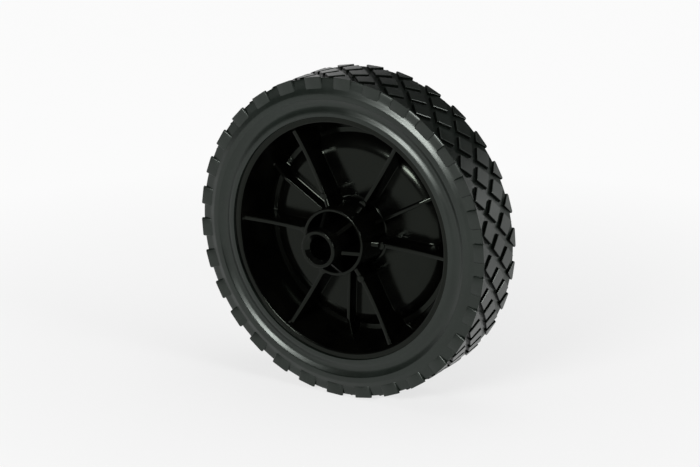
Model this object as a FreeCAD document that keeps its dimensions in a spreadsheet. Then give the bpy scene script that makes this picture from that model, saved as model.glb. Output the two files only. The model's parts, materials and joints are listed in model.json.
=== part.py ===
import FreeCAD, Part
import math
import os
from types import SimpleNamespace

import Sketcher

# A lawn mower wheel: a rubber tyre on a ribbed plastic hub. The wheel stands upright with its
# centre at the origin and turns about Y. The ribbed side with the long centre tube faces -Y.
# X of every section sketch is a radius, and Y is the place along the axle.

# Driving dimensions, in millimetres and degrees
SIZES = [
    ("tyre_diameter", 178.0, "across the tread pads"),
    ("tyre_section", 21.7, "from the tread in to the rim's edge"),
    ("shoulder_width", 35.2, "across the tread, from shoulder edge to shoulder edge"),
    ("pad_count", 30, "tread pads round one row"),
    ("pad_phase", 4.4, "angle of the first shoulder pad"),
    ("pad_gap_along", 6.2, "from corner to corner of two pads of one row, along the tread"),
    ("pad_gap_across", 5.0, "from corner to corner of two pads across the tread"),
    ("pad_height", 1.7, "depth of the tread grooves"),
    ("block_inset", 0.8, "how much a shoulder block is cut back at each end of its half diamond"),
    ("block_drop", 7.5, "how far a shoulder block reaches in, to end inside the shoulder slope"),
    ("shoulder_bevel", 0.5, "bevel of the shoulder edge"),
    ("floor_inset", 1.6, "from the shoulder edge in to the edge of the tread's floor"),
    ("step_drop", 12.8, "from the tread in to the foot of the side wall's step"),
    ("step_inset", 0.2, "from the shoulder edge in to the step's foot"),
    ("step_reach", 1.4, "from the step's foot out to its top"),
    ("step_proud", 1.0, "how far the step's top stands out beyond the shoulder edge"),
    ("band_height", 2.4, "plain band between the step and the shoulder slope"),
    ("band_proud", 0.9, "how far the band's outer edge stands out beyond the shoulder edge"),
    ("slope_height", 2.6, "steeper lower part of the shoulder slope, along the radius"),
    ("slope_inset", 0.15, "from the shoulder edge in to the end of that part"),
    ("bead_reach", 2.0, "from the rim's edge out to the crest of the bead"),
    ("bead_proud", 0.05, "how far the bead stands out beyond the shoulder edge"),
    ("dish_depth", 0.6, "hollow of the side wall between bead and step"),
    ("rim_inset", 1.25, "from the shoulder edge in to the rim's edge"),
    ("rim_lip", 3.15, "thickness of the rim at its edges"),
    ("well_depth", 4.9, "from the rim's edge in to the well that the tyre's root fills"),
    ("well_near", -2.0, "near edge of the well's bottom"),
    ("well_far", 8.0, "far edge of the well's bottom"),
    ("barrel_draw", 6.85, "how much the rim narrows from its edge to the web"),
    ("corner_reach", 1.2, "bevel between rim and web, along the radius"),
    ("corner_rise", 0.9, "bevel between rim and web, along the axle"),
    ("web_face", 1.3, "place of the web's ribbed face along the axle"),
    ("web_wall", 2.9, "thickness of the web"),
    ("fall_reach", 9.7, "outer part of the web that falls away from the flat"),
    ("fall_drop", 5.1, "how far it has fallen at the rim"),
    ("fall_depth", 1.35, "bulge of that part"),
    ("back_step", 2.2, "how much wider the rim is on the plain side, at the web"),
    ("ring_radius", 18.6, "outside of the round wall about the tube"),
    ("ring_wall", 2.0, "thickness of the round wall"),
    ("ring_end", 22.7, "how far the round wall stands out, from the wheel's middle"),
    ("ring_bevel", 1.8, "bevel at the foot of the round wall"),
    ("bore_diameter", 12.7, "axle bore"),
    ("tube_wall", 3.9, "wall of the centre tube"),
    ("tube_end", 37.5, "how far the tube stands out on the ribbed side"),
    ("tube_back", 15.0, "how far the tube stands out on the plain side"),
    ("mouth_width", 2.05, "chamfer of the bore, along the radius"),
    ("mouth_depth", 1.3, "chamfer of the bore, along the axle"),
    ("tube_bevel", 0.6, "bevel of the tube's outer edge"),
    ("rib_count", 6, "main ribs, and gussets"),
    ("rib_angle", -1.3, "angle of the first main rib"),
    ("rib_wall", 2.4, "thickness of a main rib"),
    ("rib_rim_drop", 2.6, "from the rim's edge down to a main rib's top"),
    ("rib_height", 12.7, "height of a main rib at its inner step, from the wheel's middle"),
    ("rib_ring_rise", 1.3, "how much higher a main rib is at the round wall"),
    ("rib_step_reach", 4.6, "from the round wall out to the inner step"),
    ("rib_top_depth", 1.58, "hollow of a main rib's top edge"),
    ("pin_radius", 2.1, "round pad on a main rib"),
    ("pin_reach", 5.7, "from the round wall out to the middle of that pad"),
    ("pin_rise", 0.4, "how far that pad stands out of the rib's inner step"),
    ("low_rib_count", 3, "low ribs"),
    ("low_rib_angle", 28.7, "angle of the first low rib"),
    ("low_rib_wall", 2.0, "thickness of a low rib"),
    ("low_rib_height", 5.2, "height of a low rib, from the wheel's middle"),
    ("low_rib_fall_start", 2.1, "from the web's flat out to where a low rib begins to fall"),
    ("low_rib_end", 1.5, "height of a low rib at the rim, from the wheel's middle"),
    ("gusset_angle", -13.6, "angle of the first gusset inside the round wall"),
    ("gusset_wall", 2.2, "thickness of a gusset"),
    ("gusset_ring_drop", 0.3, "from the round wall's end down to a gusset's outer end"),
    ("gusset_tube_drop", 6.9, "from the tube's end down to a gusset's inner end"),
    ("overlap", 0.8, "how far a rib's outline reaches into the wall that it grows from"),
]


class Size:
    """A number together with the sheet formula that gives it."""

    def __init__(self, value, formula):
        self.value = value
        self.formula = formula

    def combine(self, other, sign, value):
        return Size(value, f"({self.formula} {sign} {as_size(other).formula})")

    def __add__(self, other):
        return self.combine(other, "+", self.value + as_size(other).value)

    def __sub__(self, other):
        return self.combine(other, "-", self.value - as_size(other).value)

    def __mul__(self, other):
        return self.combine(other, "*", self.value * as_size(other).value)

    def __truediv__(self, other):
        return self.combine(other, "/", self.value / as_size(other).value)

    def __neg__(self):
        return Size(-self.value, f"(0 - {self.formula})")


def as_size(number):
    return number if isinstance(number, Size) else Size(number, str(number))


def cosine(angle):
    return Size(math.cos(math.radians(angle.value)), f"cos({angle.formula} * 1 deg)")


def sine(angle):
    return Size(math.sin(math.radians(angle.value)), f"sin({angle.formula} * 1 deg)")


doc = FreeCAD.newDocument("mower_wheel")
sheet = doc.addObject("Spreadsheet::Sheet", "Sizes")
for row, (alias, number, meaning) in enumerate(SIZES, start=1):
    sheet.set(f"A{row}", alias)
    sheet.set(f"B{row}", str(number))
    sheet.set(f"C{row}", meaning)
    sheet.setAlias(f"B{row}", alias)
doc.recompute()
wheel = SimpleNamespace(**{alias: Size(number, f"Sizes.{alias}") for alias, number, _ in SIZES})


# Sketches and features
def origin_feature(body, role):
    return next(feature for feature in body.Origin.OriginFeatures if feature.Role == role)


def new_sketch(body, name, turn_axis, turn, shift=None):
    """A sketch on the body's XY plane, turned about turn_axis and shifted along x, y or z."""
    sketch = body.newObject("Sketcher::SketchObject", name)
    sketch.AttachmentSupport = [(origin_feature(body, "XY_Plane"), "")]
    sketch.MapMode = "FlatFace"
    sketch.AttachmentOffset = FreeCAD.Placement(FreeCAD.Vector(), FreeCAD.Rotation(turn_axis, turn.value))
    sketch.setExpression("AttachmentOffset.Rotation.Angle", f"{turn.formula} * 1 deg")
    for axis, distance in (shift or {}).items():
        sketch.setExpression(f"AttachmentOffset.Base.{axis}", distance.formula)
    return sketch


def section_sketch(body, name, angle=None):
    """A sketch in a plane through the axle, at an angle counted from X towards Z."""
    turn = -angle if angle else as_size(0)
    return new_sketch(body, name, FreeCAD.Vector(0, 1, 0), turn)


def arc_through(start, end, radius):
    """The short arc from start to end; a positive radius turns left on the way."""
    chord = end - start
    half = chord.Length / 2
    left = FreeCAD.Vector(-chord.y, chord.x, 0).normalize()
    rise = math.sqrt(radius * radius - half * half)
    centre = (start + end) * 0.5 + left * math.copysign(rise, radius)
    circle = Part.Circle(centre, FreeCAD.Vector(0, 0, 1), abs(radius))
    ends = (start, end) if radius > 0 else (end, start)
    angles = [math.atan2(point.y - centre.y, point.x - centre.x) for point in ends]
    return Part.ArcOfCircle(circle, *angles)


def arc_radius(start, end, depth):
    """Radius of the arc between two corners that bows out from the straight line by this depth."""
    across = end[0] - start[0]
    along = end[1] - start[1]
    return (across * across + along * along) / (depth * 8) + depth / 2


def draw_outline(sketch, corners, bows=None):
    """Closes the corners into an outline. bows gives the depth of the arc that leaves a corner."""
    bows = bows or {}
    points = [FreeCAD.Vector(x.value, y.value, 0) for x, y in corners]
    first, last = 1, 2
    ends = []
    for number, start in enumerate(points):
        following = (number + 1) % len(points)
        end = points[following]
        if number in bows:
            radius = arc_radius(corners[number], corners[following], bows[number])
            edge = sketch.addGeometry(arc_through(start, end, radius.value))
            turns_left = radius.value > 0
            reach = radius if turns_left else -radius
            held = sketch.addConstraint(Sketcher.Constraint("Radius", edge, reach.value))
            sketch.setExpression(f"Constraints[{held}]", reach.formula)
            ends.append((edge, first, last) if turns_left else (edge, last, first))
        else:
            ends.append((sketch.addGeometry(Part.LineSegment(start, end)), first, last))
    for number, (x, y) in enumerate(corners):
        edge, start, _ = ends[number]
        before, _, before_end = ends[number - 1]
        sketch.addConstraint(Sketcher.Constraint("Coincident", before, before_end, edge, start))
        for kind, place in (("DistanceX", x), ("DistanceY", y)):
            held = sketch.addConstraint(Sketcher.Constraint(kind, -1, 1, edge, start, place.value))
            sketch.setExpression(f"Constraints[{held}]", place.formula)


def revolve(body, kind, name, sketch):
    feature = body.newObject(f"PartDesign::{kind}", name)
    feature.Profile = sketch
    feature.ReferenceAxis = (sketch, ["V_Axis"])
    feature.Angle = 360
    return feature


def pad_both_ways(body, name, sketch, thickness):
    feature = body.newObject("PartDesign::Pad", name)
    feature.Profile = sketch
    feature.SideType = "Symmetric"
    feature.setExpression("Length", thickness.formula)
    return feature


def repeat_round_axle(body, name, originals, count):
    pattern = body.newObject("PartDesign::PolarPattern", name)
    pattern.Originals = originals
    pattern.Axis = (origin_feature(body, "Y_Axis"), [""])
    pattern.Angle = 360
    pattern.setExpression("Occurrences", count.formula)
    body.Tip = pattern
    return pattern


# Radii and half widths that several forms share
tread_radius = wheel.tyre_diameter / 2
shoulder = wheel.shoulder_width / 2
rim_radius = tread_radius - wheel.tyre_section
rim_half = shoulder - wheel.rim_inset
rim_opening = rim_radius - wheel.rim_lip
barrel_foot = rim_opening - wheel.barrel_draw
web_edge = barrel_foot - wheel.corner_reach
web_flat = web_edge - wheel.fall_reach
web_edge_place = wheel.web_face + wheel.fall_drop
barrel_foot_place = web_edge_place - wheel.corner_rise
pad_pitch = tread_radius * 2 * Size(math.pi, "pi") / wheel.pad_count
pad_length = pad_pitch - wheel.pad_gap_along
pad_width = shoulder - wheel.pad_gap_across
block_length = pad_length - wheel.block_inset * 2
bore_radius = wheel.bore_diameter / 2
tube_radius = bore_radius + wheel.tube_wall
ring_inside = wheel.ring_radius - wheel.ring_wall

# Edges that the tyre and the rim share
RIM_EDGE_NEAR = (rim_radius, -rim_half)
RIM_EDGE_FAR = (rim_radius, rim_half)
WELL_NEAR = (rim_radius - wheel.well_depth, wheel.well_near)
WELL_FAR = (rim_radius - wheel.well_depth, wheel.well_far)


def bowed(start, end, depth):
    """The corners at the thirds of a straight line, moved along the axle by depth, which bow the line."""
    thirds = []
    for share in (1, 2):
        radius = start[0] + (end[0] - start[0]) * share / 3
        place = start[1] + (end[1] - start[1]) * share / 3
        thirds.append((radius, place + depth))
    return thirds


# Tyre
def tyre_carcass(body):
    """The ring under the tread pads: bead, hollow, step, band and shoulder slope on each side."""
    foot_radius = tread_radius - wheel.step_drop
    step_radius = foot_radius + wheel.step_reach
    band_radius = step_radius + wheel.band_height
    bead = (rim_radius + wheel.bead_reach, shoulder + wheel.bead_proud)
    step_foot = (foot_radius, shoulder - wheel.step_inset)
    side = [bead] + bowed(bead, step_foot, -wheel.dish_depth) + [
        step_foot,
        (step_radius, shoulder + wheel.step_proud),
        (band_radius, shoulder + wheel.band_proud),
        (band_radius + wheel.slope_height, shoulder - wheel.slope_inset),
        (tread_radius - wheel.pad_height, shoulder - wheel.floor_inset),
    ]
    near_side = [(radius, -place) for radius, place in side]
    far_side = list(reversed(side))
    sketch = section_sketch(body, "tyre_section")
    draw_outline(sketch, [RIM_EDGE_NEAR] + near_side + far_side + [RIM_EDGE_FAR, WELL_FAR, WELL_NEAR])
    return revolve(body, "Revolution", "carcass", sketch)


def pad_row(body, name, angle, outlines):
    """Radial blocks with these outlines, x along the tread and y across it, at one angle."""
    start_radius = tread_radius + wheel.overlap
    foot_radius = tread_radius - wheel.block_drop
    shift = {"x": start_radius * cosine(angle), "z": start_radius * sine(angle)}
    sketch = new_sketch(body, name + "_outline", FreeCAD.Vector(0, 1, 0), as_size(90) - angle, shift)
    for outline in outlines:
        draw_outline(sketch, outline)
    row = body.newObject("PartDesign::Pad", name)
    row.Profile = sketch
    row.Reversed = True
    row.setExpression("Length", (start_radius - foot_radius).formula)
    return row


def diamond(centre):
    half_length = pad_length / 2
    half_width = pad_width / 2
    middle = as_size(0)
    return [(half_length, centre), (middle, centre + half_width),
            (-half_length, centre), (middle, centre - half_width)]


def shoulder_pad(side):
    """Half a diamond with its wide end cut to the shoulder block's length; side is -1 or 1."""
    half_length = block_length / 2
    waist = shoulder - pad_width / 2 * (as_size(1) - block_length / pad_length)
    tip = shoulder - pad_width / 2
    right_half = [(half_length, shoulder * side), (half_length, waist * side)]
    left_half = [(-half_length, waist * side), (-half_length, shoulder * side)]
    return right_half + [(as_size(0), tip * side)] + left_half


def build_tyre():
    body = doc.addObject("PartDesign::Body", "tyre")
    tyre_carcass(body)
    row_pitch = shoulder / 2
    half_step = as_size(180) / wheel.pad_count
    middle_row = pad_row(body, "middle_pads", wheel.pad_phase,
                         [diamond(as_size(0)), shoulder_pad(-1), shoulder_pad(1)])
    side_rows = pad_row(body, "side_pads", wheel.pad_phase + half_step,
                        [diamond(-row_pitch), diamond(row_pitch)])
    repeat_round_axle(body, "tread", [middle_row, side_rows], wheel.pad_count)
    trim_tread(body)
    return body


def trim_tread(body):
    """Turns the pads' tops to the tyre's round outline, with a bevel at both shoulders."""
    outside = tread_radius + wheel.overlap * 3
    clear = shoulder + wheel.overlap
    bevel_radius = tread_radius - wheel.shoulder_bevel
    bevel_place = shoulder - wheel.shoulder_bevel
    corners = [(outside, -clear), (bevel_radius, -clear), (bevel_radius, -shoulder),
               (tread_radius, -bevel_place), (tread_radius, bevel_place),
               (bevel_radius, shoulder), (bevel_radius, clear), (outside, clear)]
    sketch = section_sketch(body, "tread_outline")
    draw_outline(sketch, corners)
    revolve(body, "Groove", "tread_trim", sketch)


# Hub
def hub_section(body):
    """Tube, round wall, web and rim in one turn, drawn from the bore's near mouth outwards."""
    mouth = bore_radius + wheel.mouth_width
    bevelled = tube_radius - wheel.tube_bevel
    web_back = wheel.web_face + wheel.web_wall
    back_edge_place = web_edge_place + wheel.web_wall
    fall_start = (web_flat, wheel.web_face)
    fall_end = (web_edge, web_edge_place)
    back_start = (web_flat, web_back)
    back_end = (web_edge, back_edge_place)
    corners = [
        (bore_radius, -wheel.tube_end + wheel.mouth_depth),
        (mouth, -wheel.tube_end),
        (bevelled, -wheel.tube_end),
        (tube_radius, -wheel.tube_end + wheel.tube_bevel),
        (tube_radius, wheel.web_face),
        (ring_inside, wheel.web_face),
        (ring_inside, -wheel.ring_end),
        (wheel.ring_radius, -wheel.ring_end),
        (wheel.ring_radius, wheel.web_face - wheel.ring_bevel),
        (wheel.ring_radius + wheel.ring_bevel, wheel.web_face),
        fall_start,
    ] + bowed(fall_start, fall_end, -wheel.fall_depth) + [
        fall_end,
        (barrel_foot, barrel_foot_place),
        (rim_opening, -rim_half),
        RIM_EDGE_NEAR,
        WELL_NEAR,
        WELL_FAR,
        RIM_EDGE_FAR,
        (rim_opening, rim_half),
        (barrel_foot + wheel.back_step, back_edge_place),
        back_end,
    ] + bowed(back_end, back_start, -wheel.fall_depth) + [
        back_start,
        (tube_radius, web_back),
        (tube_radius, wheel.tube_back - wheel.tube_bevel),
        (bevelled, wheel.tube_back),
        (mouth, wheel.tube_back),
        (bore_radius, wheel.tube_back - wheel.mouth_depth),
    ]
    sketch = section_sketch(body, "hub_section")
    draw_outline(sketch, corners)
    return revolve(body, "Revolution", "turned_form", sketch)


def barrel_inside(place):
    """Inner radius of the rim at a place along the axle, on the ribbed side."""
    return rim_opening - wheel.barrel_draw * (place + rim_half) / (barrel_foot_place + rim_half)


def rib_foot():
    """The lower edge that all ribs share, from the rim in to the flat of the web, inside the wall."""
    return [
        (barrel_foot + wheel.overlap, barrel_foot_place),
        (web_edge, web_edge_place + wheel.overlap),
        (web_flat, wheel.web_face + wheel.overlap),
    ]


def main_ribs(body):
    """Ribs from the round wall to the rim, with a hollow top edge and a round pad near the wall."""
    web_inside = wheel.web_face + wheel.overlap
    start = wheel.ring_radius - wheel.overlap
    corners = [
        (start, web_inside),
        (start, -wheel.rib_height - wheel.rib_ring_rise),
        (wheel.ring_radius + wheel.rib_step_reach, -wheel.rib_height),
        (rim_opening, wheel.rib_rim_drop - rim_half),
    ] + rib_foot()
    rib_top = 2
    sketch = section_sketch(body, "rib_outline", wheel.rib_angle)
    draw_outline(sketch, corners, {rib_top: wheel.rib_top_depth})
    rib = pad_both_ways(body, "rib", sketch, wheel.rib_wall)
    pin_middle = wheel.ring_radius + wheel.pin_reach
    pin_top = -wheel.rib_height - wheel.pin_rise
    pin_sketch = section_sketch(body, "rib_pad_outline", wheel.rib_angle)
    draw_outline(pin_sketch, [
        (pin_middle - wheel.pin_radius, web_inside),
        (pin_middle - wheel.pin_radius, pin_top),
        (pin_middle, pin_top),
        (pin_middle, web_inside),
    ])
    pin = body.newObject("PartDesign::Revolution", "rib_pad")
    pin.Profile = pin_sketch
    pin.ReferenceAxis = (pin_sketch, ["Edge3"])
    pin.Angle = 360
    return repeat_round_axle(body, "ribs", [rib, pin], wheel.rib_count)


def low_ribs(body):
    """Ribs half as high, level as far as the web is flat and falling from there to the rim."""
    start = wheel.ring_radius - wheel.overlap
    corners = [
        (start, wheel.web_face + wheel.overlap),
        (start, -wheel.low_rib_height),
        (web_flat + wheel.low_rib_fall_start, -wheel.low_rib_height),
        (barrel_inside(-wheel.low_rib_end) + wheel.overlap, -wheel.low_rib_end),
    ] + rib_foot()
    sketch = section_sketch(body, "low_rib_outline", wheel.low_rib_angle)
    draw_outline(sketch, corners)
    rib = pad_both_ways(body, "low_rib", sketch, wheel.low_rib_wall)
    return repeat_round_axle(body, "low_ribs", [rib], wheel.low_rib_count)


def gussets(body):
    """Sloped walls that tie the tube to the round wall."""
    inside = tube_radius - wheel.overlap
    outside = ring_inside + wheel.overlap
    web_inside = wheel.web_face + wheel.overlap
    corners = [
        (inside, web_inside),
        (inside, wheel.gusset_tube_drop - wheel.tube_end),
        (outside, wheel.gusset_ring_drop - wheel.ring_end),
        (outside, web_inside),
    ]
    sketch = section_sketch(body, "gusset_outline", wheel.gusset_angle)
    draw_outline(sketch, corners)
    gusset = pad_both_ways(body, "gusset", sketch, wheel.gusset_wall)
    return repeat_round_axle(body, "gussets", [gusset], wheel.rib_count)


def build_hub():
    body = doc.addObject("PartDesign::Body", "hub")
    hub_section(body)
    main_ribs(body)
    low_ribs(body)
    gussets(body)
    return body


# Build, check and write
pieces = [build_tyre(), build_hub()]
doc.recompute()
for item in doc.Objects:
    if "Invalid" in item.State or "Error" in item.State:
        raise RuntimeError(f"{item.Name} could not be built: {item.State}")
for piece in pieces:
    if piece.Shape.isNull() or not piece.Shape.isValid():
        raise RuntimeError(f"{piece.Label} has no valid solid")
os.makedirs("parts", exist_ok=True)
for piece in pieces:
    piece.Shape.exportStep(f"parts/{piece.Label}.step")
    print(piece.Label, "solids", len(piece.Shape.Solids), "volume", round(piece.Shape.Volume), "mm3")
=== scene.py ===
# %% [markdown]
# # A lawn mower wheel
# The object is a small spare wheel: a rubber tyre with a diamond block tread, stretched over a black
# plastic hub. The CAD model has the same two pieces. This notebook dresses it: both are built again with
# the soft edges that moulded rubber and plastic have, because those edges are what catches the light. The
# sizes are those of the CAD model, apart from a few that were fitted to the photograph once more. The
# first cell loads the CAD model as a fixed frame.

# %% Load the CAD frame
import json
import math

import bmesh
import bpy
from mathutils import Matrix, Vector

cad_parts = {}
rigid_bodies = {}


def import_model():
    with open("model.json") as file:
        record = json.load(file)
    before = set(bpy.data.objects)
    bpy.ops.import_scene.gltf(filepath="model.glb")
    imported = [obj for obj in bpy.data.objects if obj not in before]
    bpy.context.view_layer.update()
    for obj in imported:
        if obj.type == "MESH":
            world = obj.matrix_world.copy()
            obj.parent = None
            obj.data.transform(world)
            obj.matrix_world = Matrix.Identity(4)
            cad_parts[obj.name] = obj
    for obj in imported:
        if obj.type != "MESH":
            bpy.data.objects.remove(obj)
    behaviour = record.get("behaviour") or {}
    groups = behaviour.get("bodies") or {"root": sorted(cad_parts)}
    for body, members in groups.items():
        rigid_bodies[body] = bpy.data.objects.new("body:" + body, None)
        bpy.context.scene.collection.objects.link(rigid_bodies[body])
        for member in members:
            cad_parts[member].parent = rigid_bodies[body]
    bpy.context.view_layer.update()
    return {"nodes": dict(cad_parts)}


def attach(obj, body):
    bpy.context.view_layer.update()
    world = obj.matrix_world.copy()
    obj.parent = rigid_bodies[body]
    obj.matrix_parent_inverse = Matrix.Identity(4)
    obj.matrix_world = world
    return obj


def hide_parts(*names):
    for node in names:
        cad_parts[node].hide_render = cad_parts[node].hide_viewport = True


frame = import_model()
scene = bpy.context.scene
scene.view_settings.view_transform = "Standard"
MM = 0.001
print("CAD nodes:", sorted(frame["nodes"]))

# %% [markdown]
# ## The camera
# The wheel stands upright, its axle lies along Y and its ribbed side faces -Y. In the photograph we look
# at that side from the right and a little above. The angles, the distance and the focal length come from
# fitting the tread's rows and both shoulder edges to the picture. A small lens shift puts the hub on its
# own pixel.

# %% Camera
PHOTO_WIDTH, PHOTO_HEIGHT = 700, 467
HUB_PIXEL = (354.8, 231.6)
FOCAL_PIXELS = 2230
SENSOR_WIDTH = 36
CAMERA_DISTANCE = 1209 * MM
camera_turn = math.radians(31.54)
camera_rise = math.radians(17.31)

towards_camera = Vector((math.sin(camera_turn) * math.cos(camera_rise),
                         -math.cos(camera_turn) * math.cos(camera_rise),
                         math.sin(camera_rise)))
camera = bpy.data.objects.new("camera", bpy.data.cameras.new("camera"))
camera.location = towards_camera * CAMERA_DISTANCE
camera.rotation_euler = towards_camera.to_track_quat("Z", "Y").to_euler()
camera.data.sensor_width = SENSOR_WIDTH
camera.data.lens = SENSOR_WIDTH * FOCAL_PIXELS / PHOTO_WIDTH
camera.data.shift_x = (PHOTO_WIDTH / 2 - HUB_PIXEL[0]) / PHOTO_WIDTH
camera.data.shift_y = (HUB_PIXEL[1] - PHOTO_HEIGHT / 2) / PHOTO_WIDTH
scene.collection.objects.link(camera)
scene.camera = camera
print("lens", round(camera.data.lens, 1), "mm")

# %% [markdown]
# ## One helper for every node
# Shader trees and Geometry Nodes trees are built with the same few lines: make a node, set its properties,
# and give its inputs either a value or a link. Colours are written as the hex values that a colour picker
# shows, and one function turns them into the linear numbers that Blender calculates with.

# %% Node and colour helpers
def add_node(tree, kind, inputs=None, **settings):
    """Adds a node. inputs maps a socket's name or number to a value, or to the socket that feeds it."""
    node = tree.nodes.new(kind)
    for name, value in settings.items():
        setattr(node, name, value)
    for name, value in (inputs or {}).items():
        if isinstance(value, bpy.types.NodeSocket):
            tree.links.new(value, node.inputs[name])
        else:
            node.inputs[name].default_value = value
    return node


def linear(hex_colour):
    """An sRGB hex colour such as #202020, as linear red, green, blue and alpha."""
    parts = [int(hex_colour[i:i + 2], 16) / 255 for i in (1, 3, 5)]
    return [c / 12.92 if c <= 0.04045 else ((c + 0.055) / 1.055) ** 2.4 for c in parts] + [1.0]


def new_material(name):
    material = bpy.data.materials.new(name)
    material.use_nodes = True
    material.node_tree.nodes.clear()
    return material, material.node_tree


# %% [markdown]
# ## What both surfaces share
# Nothing that comes out of a mould is the same all over. Both surfaces get that from noise: slow noise
# moves the colour between a dark and a pale value and the roughness between a low and a high one, and very
# fine noise is a grain that tilts the light a little. Each of these is a small function, so that a
# material is a short list.

# %% Surface helpers
RAMP_ENDS = (0.35, 0.70)
NOISE_SPAN = (0.3, 0.7)
GRAIN_HEIGHT = 0.1 * MM


def noise(tree, place, size, detail):
    """Noise whose features are about as long as size, in metres."""
    settings = {"Vector": place, "Scale": 1 / size, "Detail": detail}
    return add_node(tree, "ShaderNodeTexNoise", settings).outputs["Fac"]


def colour_ramp(tree, factor, dark, pale):
    """Goes from a dark to a pale colour as the factor rises from one end of the ramp to the other."""
    node = add_node(tree, "ShaderNodeValToRGB", {"Fac": factor})
    for number, colour in enumerate((dark, pale)):
        node.color_ramp.elements[number].position = RAMP_ENDS[number]
        node.color_ramp.elements[number].color = linear(colour)
    return node.outputs["Color"]


def map_range(tree, value, source, target):
    """Maps a value from one range to another and stops at its ends."""
    limits = {"From Min": source[0], "From Max": source[1], "To Min": target[0], "To Max": target[1]}
    return add_node(tree, "ShaderNodeMapRange", {"Value": value, **limits}).outputs["Result"]


def grain_normal(tree, place, size, strength):
    """The tilt that a fine grain gives to a surface."""
    height = noise(tree, place, size, 1.0)
    settings = {"Height": height, "Strength": strength, "Distance": GRAIN_HEIGHT}
    return add_node(tree, "ShaderNodeBump", settings).outputs["Normal"]


# %% [markdown]
# ## The rubber
# The tyre is moulded rubber, black with carbon and faintly green. A mould leaves it neither matt nor
# shiny: broad soft highlights lie along every crest. Three things vary it: large faint clouds in colour
# and gloss, small specks of dust, and a fine grain, drawn at 0.6 mm, which is coarser than on a real tyre,
# so that it shows at all.
#
# Every pad of the tread has black strokes of shade along two sides, while the floor between the pads is
# as pale as their tops. The real tyre is one rubber, but with one rubber the walls of the pads come out
# too pale here. So the same recipe makes two, and the one for the walls is blacker and has less shine:
# it is painted shade.

# %% Rubber materials
CLOUD_SIZE, SPECK_SIZE, RUBBER_GRAIN = 25 * MM, 1.5 * MM, 0.6 * MM
DUST_SPAN, DUST_SHARE, DUST_COLOUR = (0.62, 0.80), 0.25, "#2b302b"
RUBBER_ROUGHNESS = (0.27, 0.36)
RUBBER_GRAIN_STRENGTH = 0.10


def moulded_rubber(name, dark, pale, shine):
    """Black rubber between two colours; shine is the level of its reflections."""
    material, tree = new_material(name)
    place = add_node(tree, "ShaderNodeTexCoord").outputs["Object"]
    clouds = noise(tree, place, CLOUD_SIZE, 4.0)
    specks = noise(tree, place, SPECK_SIZE, 2.0)
    body = colour_ramp(tree, clouds, dark, pale)
    dust = map_range(tree, specks, DUST_SPAN, (0.0, DUST_SHARE))
    # Sockets 6 and 7 are the two colours of a colour mix, and output 2 is the mixed colour
    mix = {"Factor": dust, 6: body, 7: linear(DUST_COLOUR)}
    colour = add_node(tree, "ShaderNodeMix", mix, data_type="RGBA").outputs[2]
    shader = add_node(tree, "ShaderNodeBsdfPrincipled", {
        "Base Color": colour, "Roughness": map_range(tree, clouds, NOISE_SPAN, RUBBER_ROUGHNESS),
        "IOR": 1.52, "Specular IOR Level": shine, "Specular Tint": linear("#f6fff8"),
        "Normal": grain_normal(tree, place, RUBBER_GRAIN, RUBBER_GRAIN_STRENGTH)})
    add_node(tree, "ShaderNodeOutputMaterial", {"Surface": shader.outputs["BSDF"]})
    return material


rubber = moulded_rubber("moulded_rubber", "#0a0f0b", "#0f1511", 0.42)
# The second rubber is painted shade: a blacker, less shiny copy for the walls of the tread's pads.
shade_painted_rubber = moulded_rubber("painted_shade_rubber", "#040504", "#060806", 0.04)
print("made", rubber.name, "and", shade_painted_rubber.name)

# %% [markdown]
# ## The plastic
# The hub is injection-moulded polypropylene, dyed black in the mass. It is smoother than the rubber, so
# its highlights are narrower, and where nothing bright is reflected it is almost pure black. The flow of
# the melt leaves slow waves in the gloss, a centimetre or two long.

# %% Plastic material
WAVE_SIZE, PLASTIC_GRAIN = 14 * MM, 0.5 * MM
PLASTIC_ROUGHNESS = (0.14, 0.20)
PLASTIC_GRAIN_STRENGTH = 0.05


def moulded_polypropylene():
    material, tree = new_material("moulded_polypropylene")
    place = add_node(tree, "ShaderNodeTexCoord").outputs["Object"]
    waves = noise(tree, place, WAVE_SIZE, 3.0)
    shader = add_node(tree, "ShaderNodeBsdfPrincipled", {
        "Base Color": colour_ramp(tree, waves, "#020202", "#050504"),
        "Roughness": map_range(tree, waves, NOISE_SPAN, PLASTIC_ROUGHNESS),
        "IOR": 1.49, "Specular IOR Level": 0.19, "Specular Tint": linear("#eaf8e6"),
        "Normal": grain_normal(tree, place, PLASTIC_GRAIN, PLASTIC_GRAIN_STRENGTH)})
    add_node(tree, "ShaderNodeOutputMaterial", {"Surface": shader.outputs["BSDF"]})
    return material


plastic = moulded_polypropylene()
print("made", plastic.name)

# %% [markdown]
# ## Turned forms
# Both pieces are mostly turned: a section swept once round the axle. A section is a list of corners, each
# with a radius from the axle, a place along it and a rounding, in millimetres. Sharp corners would look
# like paper, so a corner with a rounding becomes a small arc, and two extra points close to the arc keep
# the smooth shading from spreading over the flats beside it.

# %% Sections with rounded corners
CORNER_STEPS = 4
CORNER_REACH = 0.45
GUARD = 0.15


def rounded_section(corners):
    """A closed section with arcs at its corners; a corner is (radius, place, rounding) in millimetres."""
    points = []
    count = len(corners)
    for number, (radius, place, rounding) in enumerate(corners):
        corner = Vector((radius, place))
        before = Vector(corners[number - 1][:2]) - corner
        after = Vector(corners[(number + 1) % count][:2]) - corner
        if rounding <= 0:
            points.append(corner)
            continue
        limit = CORNER_REACH * min(before.length, after.length)
        setback = min(rounding / math.tan(before.angle(after) / 2), limit)
        arc_start = corner + before.normalized() * setback
        arc_end = corner + after.normalized() * setback
        points.append(arc_start + before.normalized() * GUARD)
        for step in range(CORNER_STEPS + 1):
            t = step / CORNER_STEPS
            points.append(arc_start * (1 - t) ** 2 + corner * (2 * t * (1 - t)) + arc_end * t ** 2)
        points.append(arc_end + after.normalized() * GUARD)
    return points


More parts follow.
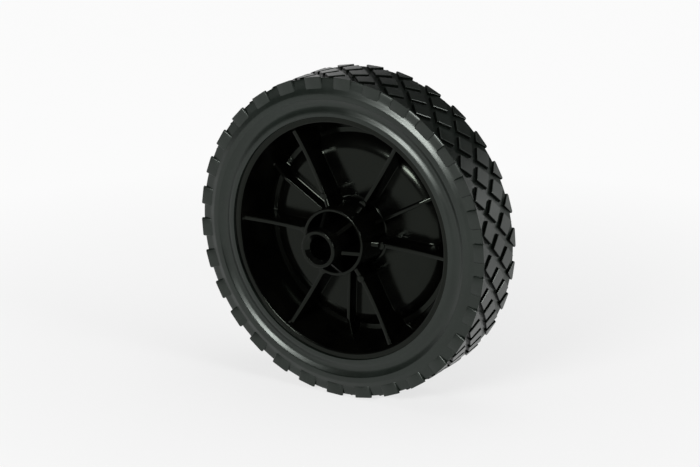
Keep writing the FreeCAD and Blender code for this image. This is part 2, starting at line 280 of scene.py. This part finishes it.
def bowed(start, end, depth, steps):
    """Corners on an arc that leaves the straight line by depth, to the left of it; ends left out."""
    start, end = Vector(start), Vector(end)
    chord = end - start
    left = Vector((-chord.y, chord.x)).normalized()
    places = [step / steps for step in range(1, steps)]
    return [(*(start + chord * t + left * (4 * depth * t * (1 - t))), 0) for t in places]


def softened(points, rounds=3):
    """Cuts the corners of an open line again and again, until it is a smooth curve with the same ends."""
    near, far = 0.75, 0.25
    for _ in range(rounds):
        cut = [points[0]]
        for start, end in zip(points, points[1:]):
            start, end = Vector(start), Vector(end)
            cut += [tuple(start * near + end * far), tuple(start * far + end * near)]
        points = cut + [points[-1]]
    return points


# %% [markdown]
# ## From points to a mesh
# A mesh is a list of points and a list of faces that name their points by number. One function makes an
# object of the two. It turns all faces outwards and shades them smooth, except over edges that are bent
# too far to be a curve. A turned form has one row of points for each small turn of its section.

# %% Meshes
TURNED_CREASE = 50


def new_mesh_object(name, verts, faces, crease=TURNED_CREASE):
    """An object at the origin whose faces point outwards; edges bent over crease degrees stay sharp."""
    mesh = bpy.data.meshes.new(name)
    mesh.from_pydata(verts, [], faces)
    build = bmesh.new()
    build.from_mesh(mesh)
    bmesh.ops.recalc_face_normals(build, faces=build.faces)
    build.to_mesh(mesh)
    build.free()
    mesh.shade_smooth()
    mesh.set_sharp_from_angle(angle=math.radians(crease))
    piece = bpy.data.objects.new(name, mesh)
    scene.collection.objects.link(piece)
    return piece


def turned(name, section, steps):
    """Sweeps a closed section round the axle, in metres."""
    verts, faces = [], []
    rows = len(section)
    for step in range(steps):
        angle = 2 * math.pi * step / steps
        for radius, place in section:
            verts.append((radius * math.cos(angle) * MM, place * MM, radius * math.sin(angle) * MM))
        here, onward = step * rows, (step + 1) % steps * rows
        for row in range(rows):
            following = (row + 1) % rows
            faces.append((here + row, here + following, onward + following, onward + row))
    return new_mesh_object(name, verts, faces)


# %% [markdown]
# ## The tyre's carcass
# From the rim outwards the side wall has a bead, a shallow dish, a small step up to a flat band, and a
# shoulder that slopes away to the floor of the tread. Dish, band and slope are smooth: a few straight
# lines whose corners are cut again and again. The step between dish and band stays sharp. The long
# highlights in the photograph run along the dish and the slope. The far side wall mirrors the near one.

# %% Carcass
TREAD_RADIUS, PAD_HEIGHT = 89.0, 1.7
FLOOR_RADIUS = TREAD_RADIUS - PAD_HEIGHT
RIM_EDGE, RIM_HALF = 67.3, 16.35
WELL, WELL_NEAR, WELL_FAR = 62.4, -2.0, 8.0
WHEEL_STEPS = 240

bead = [(67.4, 17.2), (67.5, 17.55), (69.2, 17.65)]
dish = [(69.2, 17.65), (70.2, 17.5), (71.8, 16.75), (73.2, 16.4),
        (74.6, 16.65), (75.8, 17.25), (76.8, 17.82)]
band = [(77.15, 18.4), (77.6, 18.52), (79.8, 18.45), (80.6, 18.2)]
slope = [(82.9, 17.2), (84.5, 16.85), (87.6, 16.25), (88.2, 15.9)]
groove_floor = [(88.15, 15.4), (FLOOR_RADIUS, 12.5)]
wall_line = bead + softened(dish)[1:] + softened(band + slope) + groove_floor
far_wall = [(radius, place, 0) for radius, place in wall_line]
near_wall = [(radius, -place, 0) for radius, place in wall_line]
bed = [(RIM_EDGE, RIM_HALF, 0), (WELL, WELL_FAR, 0), (WELL, WELL_NEAR, 0), (RIM_EDGE, -RIM_HALF, 0)]
carcass_section = rounded_section(near_wall + far_wall[::-1] + bed)
tyre = turned("tyre_dressed", carcass_section, WHEEL_STEPS)
print("carcass:", len(tyre.data.polygons), "faces")

# %% [markdown]
# ## One tread pad
# A pad is a diamond that stands out of the tread. It is built as a stack of outlines: a small flare at the
# foot, a steep wall, and a narrow bevel round the top. Each outline is the diamond moved in or out, and
# each point is set on a cylinder round the axle, so that the pad's top is as round as the tyre. The blocks
# on the shoulder are half diamonds made in the same way; their feet reach down the shoulder and end inside
# its slope. With 150 pads and blocks on the tyre, each has only a few dozen faces.

# %% Stacks of outlines
CORNER_CUT = 0.2
PAD_CREASE = 25


def moved_outline(outline, distance):
    """A convex outline, drawn anticlockwise, with every side moved out by distance and its corners cut."""
    moved = []
    count = len(outline)
    for number in range(count):
        corner = Vector(outline[number])
        arriving = (corner - Vector(outline[number - 1])).normalized()
        leaving = (Vector(outline[(number + 1) % count]) - corner).normalized()
        side_out = Vector((arriving.y, -arriving.x))
        next_out = Vector((leaving.y, -leaving.x))
        middle = (side_out + next_out).normalized()
        tip = corner + middle * (distance / middle.dot(side_out))
        moved += [tip - arriving * CORNER_CUT, tip + leaving * CORNER_CUT]
    return moved


def skin(rings, size):
    """Faces between neighbours in a row of rings, each of size points."""
    faces = []
    for ring in range(rings - 1):
        low, high = ring * size, (ring + 1) * size
        for number in range(size):
            onward = (number + 1) % size
            faces.append((low + number, low + onward, high + onward, high + number))
    return faces


def stacked_pad(outline, rings):
    """Verts and faces of a block made of outlines; a ring is (distance moved out, radius from the axle)."""
    verts = []
    for distance, radius in rings:
        for along, across in moved_outline(outline, distance):
            verts.append((math.sqrt(radius ** 2 - along ** 2), across, along))
    size = 2 * len(outline)
    faces = skin(len(rings), size)
    middle = sum((Vector(corner) for corner in outline), Vector((0, 0))) / len(outline)
    verts.append((math.sqrt(rings[-1][1] ** 2 - middle.x ** 2), middle.y, middle.x))
    top = (len(rings) - 1) * size
    faces += [(top + number, top + (number + 1) % size, len(verts) - 1) for number in range(size)]
    faces.append(tuple(range(size))[::-1])
    return verts, faces


def joined_blocks(name, blocks):
    """One pattern object from several blocks, in metres."""
    verts, faces = [], []
    for block_verts, block_faces in blocks:
        first = len(verts)
        verts += [tuple(c * MM for c in vert) for vert in block_verts]
        faces += [tuple(first + corner for corner in face) for face in block_faces]
    return new_mesh_object(name, verts, faces, PAD_CREASE)


# %% [markdown]
# ## One step of the tread
# The tread repeats after one diamond. A step holds a pad in the middle with a shoulder block at each end,
# and half a step further on two pads side by side. The faces of the walls between the pads are marked with
# an attribute, so that they can get the blacker rubber of painted shade later.

# %% Pads and shoulder blocks
SHOULDER = 17.6
ROW_PLACE = SHOULDER / 2
PAD_LENGTH, PAD_WIDTH, PAD_BEVEL = 12.4, 12.6, 0.20
PAD_FLARE, PAD_TAPER, PAD_ROOT, FLARE_HEIGHT = 0.45, 0.15, 0.15, 0.30
BLOCK_LENGTH, BLOCK_CUT, BLOCK_BEVEL = 10.8, 0.7, 0.12
WALL_TOP, TREAD_EDGE = TREAD_RADIUS - 0.3, 15.6


def diamond(place):
    """A pad's outline, with its middle at a place along the axle."""
    half_length, half_width = PAD_LENGTH / 2, PAD_WIDTH / 2
    return [(half_length, place), (0, place + half_width), (-half_length, place), (0, place - half_width)]


def shoulder_outline(side):
    """Half a diamond, cut to the shoulder block's length, its outer corners cut off; side is -1 or 1."""
    half = BLOCK_LENGTH / 2
    waist = SHOULDER - PAD_WIDTH / 2 * (1 - BLOCK_LENGTH / PAD_LENGTH)
    tip = SHOULDER - PAD_WIDTH / 2
    end = half - BLOCK_CUT
    outline = [(half, waist), (end, SHOULDER), (-end, SHOULDER), (-half, waist), (0, tip)]
    return outline if side > 0 else [(along, -across) for along, across in outline[::-1]]


def mark_walls(pattern):
    """Marks the faces that get painted shade: those between the tread's floor and the bevels on top, but
    not the shoulder's outside.
    """
    marks = pattern.data.attributes.new("wall", "BOOLEAN", "FACE").data
    for face in pattern.data.polygons:
        below_top = math.hypot(face.center.x, face.center.z) < WALL_TOP * MM
        marks[face.index].value = below_top and abs(face.center.y) < TREAD_EDGE * MM


pad_rings = [(PAD_FLARE, FLOOR_RADIUS - PAD_ROOT), (PAD_TAPER, FLOOR_RADIUS + FLARE_HEIGHT),
             (0.0, TREAD_RADIUS - PAD_BEVEL), (-PAD_BEVEL, TREAD_RADIUS)]
block_rings = [(-1.4, 81.3), (-0.4, 82.2), (0.0, 83.4),
               (0.0, TREAD_RADIUS - BLOCK_BEVEL), (-BLOCK_BEVEL, TREAD_RADIUS)]
shoulder_blocks = [stacked_pad(shoulder_outline(side), block_rings) for side in (1, -1)]
side_pads = [stacked_pad(diamond(place), pad_rings) for place in (-ROW_PLACE, ROW_PLACE)]
middle_row = joined_blocks("middle_row", [stacked_pad(diamond(0), pad_rings)] + shoulder_blocks)
side_rows = joined_blocks("side_rows", side_pads)
mark_walls(middle_row)
mark_walls(side_rows)
print("faces in one step of the tread:", len(middle_row.data.polygons) + len(side_rows.data.polygons))

# %% [markdown]
# ## Repeating round the axle
# Thirty steps of tread, six ribs, three low ribs and six gussets all follow one rule: copies of a pattern,
# each turned a little further round the axle. That is a job for Geometry Nodes. One tree does it for all
# of them: it makes as many points as copies, puts the pattern on each with its own turn, and joins the
# result to the mesh that it is given. Realize Instances makes real faces of the copies. Set Material is
# used twice: once for all faces, and once for those marked as walls, which only the tread has; these get
# the painted shade.

# %% Geometry Nodes tree for repeats
def repeat_tree():
    tree = bpy.data.node_groups.new("Repeat round the axle", "GeometryNodeTree")
    sockets = [("Geometry", "NodeSocketGeometry"), ("Pattern", "NodeSocketObject"),
               ("Copies", "NodeSocketInt"), ("First angle", "NodeSocketFloat"),
               ("Material", "NodeSocketMaterial"), ("Painted shade material", "NodeSocketMaterial")]
    for name, kind in sockets:
        tree.interface.new_socket(name, in_out="INPUT", socket_type=kind)
    tree.interface.new_socket("Geometry", in_out="OUTPUT", socket_type="NodeSocketGeometry")
    given = add_node(tree, "NodeGroupInput").outputs
    pattern = add_node(tree, "GeometryNodeObjectInfo", {"Object": given["Pattern"]})
    points = add_node(tree, "GeometryNodePoints", {"Count": given["Copies"]})
    step = add_node(tree, "ShaderNodeMath", {0: 2 * math.pi, 1: given["Copies"]}, operation="DIVIDE")
    number = add_node(tree, "GeometryNodeInputIndex")
    angle = add_node(tree, "ShaderNodeMath", {0: number.outputs["Index"], 1: step.outputs[0],
                                              2: given["First angle"]}, operation="MULTIPLY_ADD")
    turn = add_node(tree, "ShaderNodeMath", {0: angle.outputs[0], 1: -1.0}, operation="MULTIPLY")
    axes = add_node(tree, "ShaderNodeCombineXYZ", {"Y": turn.outputs[0]})
    rotation = add_node(tree, "FunctionNodeEulerToRotation", {0: axes.outputs[0]})
    copies = add_node(tree, "GeometryNodeInstanceOnPoints", {
        "Points": points.outputs[0], "Instance": pattern.outputs["Geometry"],
        "Rotation": rotation.outputs[0]})
    real = add_node(tree, "GeometryNodeRealizeInstances", {"Geometry": copies.outputs[0]})
    joined = add_node(tree, "GeometryNodeJoinGeometry", {"Geometry": real.outputs[0]})
    tree.links.new(given["Geometry"], joined.inputs["Geometry"])
    finish = add_node(tree, "GeometryNodeSetMaterial", {
        "Geometry": joined.outputs[0], "Material": given["Material"]})
    # The faces marked as walls get the painted shade material, a blacker rubber that stands in for shade.
    marks = add_node(tree, "GeometryNodeInputNamedAttribute", {"Name": "wall"}, data_type="BOOLEAN")
    walls = add_node(tree, "GeometryNodeSetMaterial", {
        "Geometry": finish.outputs[0], "Material": given["Painted shade material"],
        "Selection": marks.outputs["Attribute"]})
    add_node(tree, "NodeGroupOutput", {0: walls.outputs[0]})
    return tree


REPEAT = repeat_tree()


def repeat_onto(piece, pattern, copies, first_angle, material, painted_shade_material=None):
    """Adds copies of a pattern to a piece, as plain mesh, and removes the pattern."""
    for mesh in (piece.data, pattern.data):
        if not mesh.materials:
            mesh.materials.append(material)
    modifier = piece.modifiers.new("repeat", "NODES")
    modifier.node_group = REPEAT
    values = {"Pattern": pattern, "Copies": copies, "First angle": math.radians(first_angle),
              "Material": material, "Painted shade material": painted_shade_material or material}
    for socket in REPEAT.interface.items_tree:
        if socket.in_out == "INPUT" and socket.name in values:
            modifier[socket.identifier] = values[socket.name]
    evaluated = piece.evaluated_get(bpy.context.evaluated_depsgraph_get())
    plain = bpy.data.meshes.new_from_object(evaluated)
    piece.modifiers.remove(modifier)
    piece.data = plain
    bpy.data.objects.remove(pattern)


PAD_COUNT, PAD_PHASE = 30, 4.4
# The tread's walls get the blacker rubber, which is painted shade.
repeat_onto(tyre, middle_row, PAD_COUNT, PAD_PHASE, rubber, shade_painted_rubber)
repeat_onto(tyre, side_rows, PAD_COUNT, PAD_PHASE + 180 / PAD_COUNT, rubber, shade_painted_rubber)
tyre.data.attributes.remove(tyre.data.attributes["wall"])
print("tyre:", len(tyre.data.polygons), "faces in", [material.name for material in tyre.data.materials])

# %% [markdown]
# ## The hub's turned form
# One section holds the bore with its chamfered mouth, the long tube, the round wall about it, the web and
# the rim. The web is flat in the middle, then falls away in a bow to a narrow channel beside the rim. The
# bow makes the bright arcs at the upper right in the photograph. The rim's seat is the tyre's bed, read
# backwards. The plain side is not seen in the photograph and is kept simple.

# %% Hub body
BORE, MOUTH, TUBE = 6.35, 8.4, 10.25
TUBE_END, TUBE_BACK, MOUTH_DEPTH = -37.5, 15.0, 2.3
RING_OUT, RING_IN, RING_END = 18.6, 16.6, -22.7
WEB, WEB_BACK, WEB_FLAT = 1.3, 4.2, 44.5
WEB_EDGE, WEB_EDGE_PLACE, WEB_BACK_PLACE = 54.2, 6.4, 9.3
FALL_DEPTH, FALL_STEPS = 1.35, 10
CHANNEL_EDGE, BARREL_FOOT, BARREL_FOOT_PLACE = 56.8, 57.3, 5.5
RIM_OPENING, BACK_STEP = 64.15, 59.5

web_fall = bowed((WEB_FLAT, WEB), (WEB_EDGE, WEB_EDGE_PLACE), -FALL_DEPTH, FALL_STEPS)
back_fall = bowed((WEB_EDGE, WEB_BACK_PLACE), (WEB_FLAT, WEB_BACK), FALL_DEPTH, FALL_STEPS)
tube_and_ring = [
    (BORE, TUBE_END + MOUTH_DEPTH, 0.3), (MOUTH, TUBE_END, 0.3), (TUBE, TUBE_END, 0.6), (TUBE, WEB, 0.4),
    (RING_IN, WEB, 0.4), (RING_IN, RING_END, 0.7), (RING_OUT, RING_END, 0.7), (RING_OUT, WEB, 1.6),
    (WEB_FLAT, WEB, 0)]
channel_and_rim = [
    (WEB_EDGE, WEB_EDGE_PLACE, 0), (CHANNEL_EDGE, WEB_EDGE_PLACE, 0), (BARREL_FOOT, BARREL_FOOT_PLACE, 0.5),
    (RIM_OPENING, -RIM_HALF, 1.1)]
plain_rim = [
    (RIM_OPENING, RIM_HALF, 0.5), (BACK_STEP, WEB_BACK_PLACE, 1.0), (WEB_EDGE, WEB_BACK_PLACE, 0)]
plain_tube = [
    (WEB_FLAT, WEB_BACK, 0), (TUBE, WEB_BACK, 0.8), (TUBE, TUBE_BACK, 0.6), (MOUTH, TUBE_BACK, 0.15),
    (BORE, TUBE_BACK - MOUTH_DEPTH, 0.15)]
ribbed_side = tube_and_ring + web_fall + channel_and_rim
plain_side = plain_rim + back_fall + plain_tube
hub = turned("hub_dressed", rounded_section(ribbed_side + bed[::-1] + plain_side), WHEEL_STEPS)
print("hub body:", len(hub.data.polygons), "faces")

# %% [markdown]
# ## Walls along a radius
# Ribs and gussets are thin walls along a radius. The foot of such a wall follows the web, its top edge has
# a line of its own, and moulding gives it a small fillet along the foot and round edges on top. So it is a
# row of cross sections, one for each place along the radius, skinned into a wall.

# %% Walls
WALL_ROOT, LEAST_WALL = 0.4, 0.2
FLARE_SHARE, EDGE_SHARE, ARC_MIDDLE = 0.5, 0.4, 0.3


def web_place(radius):
    """Where the ribbed face lies along the axle at a radius: web, fall, channel, then the rim's inside."""
    if radius <= WEB_FLAT:
        return WEB
    if radius <= WEB_EDGE:
        t = (radius - WEB_FLAT) / (WEB_EDGE - WEB_FLAT)
        return WEB + (WEB_EDGE_PLACE - WEB) * t - 4 * FALL_DEPTH * t * (1 - t)
    if radius <= CHANNEL_EDGE:
        return WEB_EDGE_PLACE
    if radius <= BARREL_FOOT:
        t = (radius - CHANNEL_EDGE) / (BARREL_FOOT - CHANNEL_EDGE)
        return WEB_EDGE_PLACE + (BARREL_FOOT_PLACE - WEB_EDGE_PLACE) * t
    steepness = (RIM_HALF + BARREL_FOOT_PLACE) / (RIM_OPENING - BARREL_FOOT)
    return BARREL_FOOT_PLACE - (radius - BARREL_FOOT) * steepness


def end_caps(rings, size):
    """The two faces that close a row of rings, each of size points."""
    last = (rings - 1) * size
    return [tuple(range(size)), tuple(range(last, last + size))[::-1]]


def wall_along_radius(stations, top_place, half_wall, flare=0.3, edge=0.45):
    """Verts and faces of a wall; top_place gives its top edge along the axle for a radius."""
    verts = []
    for radius in stations:
        foot = web_place(radius)
        top = min(top_place(radius), foot - LEAST_WALL)
        low = min(flare, FLARE_SHARE * (foot - top))
        high = min(edge, EDGE_SHARE * (foot - top))
        side = [(half_wall + low, foot + WALL_ROOT), (half_wall + low, foot),
                (half_wall + ARC_MIDDLE * low, foot - ARC_MIDDLE * low), (half_wall, foot - low),
                (half_wall, top + high), (half_wall - ARC_MIDDLE * high, top + ARC_MIDDLE * high),
                (half_wall - high, top)]
        outline = side + [(-across, place) for across, place in side[::-1]]
        verts += [(radius, place, across) for across, place in outline]
    rings, size = len(stations), len(outline)
    return verts, skin(rings, size) + end_caps(rings, size)


# %% [markdown]
# ## Ribs and gussets
# Six main ribs run from the round wall to the rim. Each is highest at the round wall, has a small round
# pad there, and then follows a hollow line. In every other gap between them lies a low rib. Inside the
# round wall six gussets slope down from the long tube. One of each is drawn, and the tree from above
# repeats it.

# %% Ribs, low ribs and gussets
RIB_START, RIB_END, RIB_HALF = 17.8, 63.6, 1.2
RIB_STEP, RIB_STEP_PLACE, RIB_STEP_RISE = 23.2, -12.7, 1.3
LOW_RIB_END, LOW_RIB_HALF, LOW_RIB_EDGE = 59.6, 1.0, 0.5
GUSSET_START, GUSSET_END, GUSSET_HALF = 9.5, 17.4, 1.1
GUSSET_PLACE, GUSSET_DROP = -30.6, 8.2
FLAT_END = 44


def evenly(start, end, steps):
    return [start + (end - start) * step / steps for step in range(steps + 1)]


def rib_stations(near_ring, flat_start, flat_steps, end, end_steps):
    """Places along a rib for its cross sections, closest together where the web bends."""
    flat = near_ring + evenly(flat_start, FLAT_END, flat_steps)
    fall = evenly(WEB_FLAT, WEB_EDGE, FALL_STEPS) + [CHANNEL_EDGE]
    return flat + fall + evenly(BARREL_FOOT, end, end_steps)


def rib_top(radius):
    """A main rib is highest at the round wall, drops to a step, then follows a hollow line to the rim."""
    rim_place, hollow_depth = -13.75, 1.58
    if radius < RIB_STEP:
        return RIB_STEP_PLACE - RIB_STEP_RISE * (RIB_STEP - radius) / (RIB_STEP - RIB_START)
    t = (radius - RIB_STEP) / (RIM_OPENING - RIB_STEP)
    return RIB_STEP_PLACE + (rim_place - RIB_STEP_PLACE) * t + 4 * hollow_depth * t * (1 - t)


def rib_pad():
    """The small round pad on a main rib, near the round wall."""
    middle, radius, top, sides = 24.3, 2.1, -13.1, 16
    edge, edge_middle = 0.35, 0.1
    rings = [(radius, WEB + WALL_ROOT), (radius, top + edge),
             (radius - edge_middle, top + edge_middle), (radius - edge, top)]
    angles = [2 * math.pi * number / sides for number in range(sides)]
    verts = [(middle + reach * math.cos(angle), place, reach * math.sin(angle))
             for reach, place in rings for angle in angles]
    return verts, skin(len(rings), sides) + end_caps(len(rings), sides)


def low_rib_top(radius):
    """A low rib is level until a little past the flat of the web, then falls to the rim."""
    level_end, rim_end, level_place, rim_place = 48.5, 59.5, -5.2, -1.5
    fallen = min(max((radius - level_end) / (rim_end - level_end), 0), 1)
    return level_place + (rim_place - level_place) * fallen


def gusset_top(radius):
    """A gusset slopes from high on the tube down to the end of the round wall."""
    return GUSSET_PLACE + (radius - GUSSET_START) / (GUSSET_END - GUSSET_START) * GUSSET_DROP


main_places = rib_stations([RIB_START, 20.0, 22.0, RIB_STEP], flat_start=25, flat_steps=8,
                           end=RIB_END, end_steps=8)
low_places = rib_stations([RIB_START, 20.0, 23.0], flat_start=26, flat_steps=5,
                          end=LOW_RIB_END, end_steps=4)
gusset_places = evenly(GUSSET_START, GUSSET_END, steps=4)
rib_wall = wall_along_radius(main_places, rib_top, RIB_HALF)
low_wall = wall_along_radius(low_places, low_rib_top, LOW_RIB_HALF, edge=LOW_RIB_EDGE)
gusset_wall = wall_along_radius(gusset_places, gusset_top, GUSSET_HALF)
# A row is a pattern's name, its blocks, the number of copies and the angle of the first, in degrees
hub_patterns = [("main_rib", [rib_wall, rib_pad()], 6, -1.3),
                ("low_rib", [low_wall], 3, 28.7),
                ("gusset", [gusset_wall], 6, -13.6)]
for name, blocks, copies, first_angle in hub_patterns:
    repeat_onto(hub, joined_blocks(name, blocks), copies, first_angle, plastic)
print("hub:", len(hub.data.polygons), "faces")

# %% [markdown]
# ## The floor
# The wheel was photographed on white. The camera looks down, so all of the background is floor. To the
# lamps the floor is white paper. To the eye and in reflections it is mixed with plain white, nearly all of
# it far away and less beside the wheel, where its shadow lies. Less plain white there also makes the floor
# beside the wheel darker than far away, where no shadow falls: painted shade round the wheel, on top of
# its real shadow. So the background is white without more light on the wheel. Two metres behind the
# wheel the paper turns up, and closes the view in low reflections.

# %% Floor
FLOOR_LEVEL = -TREAD_RADIUS * MM
FLOOR_REACH = 6.0
SHEET_BACK, SHEET_RISE = 2.0, 0.7
SHADOW_AND_PAINTED_SHADE_SPAN = (0.06, 0.45)
WHITE_SHARE = (0.72, 0.97)


def sheet_material():
    """White paper that is mostly plain white to the eye and in reflections, so that shadows are faint. Near
    the wheel less of it is plain white, which paints shade round the wheel.
    """
    material, tree = new_material("white_paper")
    paper = add_node(tree, "ShaderNodeBsdfDiffuse", {"Color": linear("#f0f0f0")})
    white = add_node(tree, "ShaderNodeEmission", {"Color": linear("#fdfdfd"), "Strength": 1.0})
    path = add_node(tree, "ShaderNodeLightPath").outputs
    mirrored = add_node(tree, "ShaderNodeMath", {0: path["Is Glossy Ray"], 1: path["Is Transmission Ray"]},
                        operation="MAXIMUM")
    seen = add_node(tree, "ShaderNodeMath", {0: path["Is Camera Ray"], 1: mirrored.outputs[0]},
                    operation="MAXIMUM")
    place = add_node(tree, "ShaderNodeTexCoord").outputs["Object"]
    away = add_node(tree, "ShaderNodeVectorMath", {0: place, 1: (0, 0, FLOOR_LEVEL)}, operation="DISTANCE")
    # Nearer the wheel less of the floor is plain white: painted shade round the wheel, besides its real
    # shadow.
    plain = map_range(tree, away.outputs["Value"], SHADOW_AND_PAINTED_SHADE_SPAN, WHITE_SHARE)
    share = add_node(tree, "ShaderNodeMath", {0: seen.outputs[0], 1: plain}, operation="MULTIPLY")
    mixed = add_node(tree, "ShaderNodeMixShader", {
        0: share.outputs[0], 1: paper.outputs[0], 2: white.outputs[0]})
    add_node(tree, "ShaderNodeOutputMaterial", {"Surface": mixed.outputs[0]})
    return material


forward = Vector((towards_camera.x, towards_camera.y, 0)).normalized()
sideways = Vector((-forward.y, forward.x, 0))
floor_rows = [(FLOOR_REACH, 0.0), (-SHEET_BACK, 0.0), (-SHEET_BACK, SHEET_RISE)]
floor_verts = [forward * reach + sideways * side + Vector((0, 0, FLOOR_LEVEL + rise))
               for reach, rise in floor_rows for side in (-FLOOR_REACH, FLOOR_REACH)]
floor = new_mesh_object("floor", floor_verts, [(0, 1, 3, 2), (2, 3, 5, 4)])
floor.data.materials.append(sheet_material())
print("floor at", round(FLOOR_LEVEL, 4), "m")

# %% [markdown]
# ## The light
# A wide and low strip light in front of the wheel and above it makes the long highlights on dish and
# shoulder. A second lamp lights the tread from the right, a weak one overhead gives the shadow under the
# wheel, and a low one behind shines along the tread's far side. All are weak enough for a plain grey to
# look about as it is written. The room itself is dim, which is why the top of the tread stays dark.

# %% Lamps and room
ROOM_LEVEL = 0.08
# A row is a lamp's name, its place in metres, its width and height in metres and its power in watts
LAMPS = [("front_light", (0.0, -1.38, 0.55), (0.52, 0.2), 17),
         ("right_light", (1.4, -0.15, 0.5), (0.36, 0.36), 9),
         ("top_light", (0.1, 0.1, 1.4), (1.0, 1.0), 4),
         ("back_light", (1.2, 1.7, 0.3), (1.2, 1.0), 3)]


def soft_light(name, place, size, power):
    """A rectangular lamp that is aimed at the wheel's centre."""
    lamp = bpy.data.lights.new(name, "AREA")
    lamp.shape = "RECTANGLE"
    lamp.size, lamp.size_y = size
    lamp.energy = power
    light = bpy.data.objects.new(name, lamp)
    light.location = place
    light.rotation_euler = Vector(place).to_track_quat("Z", "Y").to_euler()
    scene.collection.objects.link(light)


for lamp_row in LAMPS:
    soft_light(*lamp_row)
world = bpy.data.worlds.new("studio")
world.use_nodes = True
world.node_tree.nodes.clear()
room = {"Color": (1.0, 1.0, 1.0, 1.0), "Strength": ROOM_LEVEL}
sky = add_node(world.node_tree, "ShaderNodeBackground", room)
add_node(world.node_tree, "ShaderNodeOutputWorld", {"Surface": sky.outputs[0]})
scene.world = world
print("lamps:", [lamp_row[0] for lamp_row in LAMPS])

# %% [markdown]
# ## Hand over
# Each dressed piece stands for its CAD node and moves with the part's one body.

# %% Hand over to the frame
for piece, node in ((tyre, "tyre"), (hub, "hub")):
    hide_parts(node)
    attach(piece, "root")
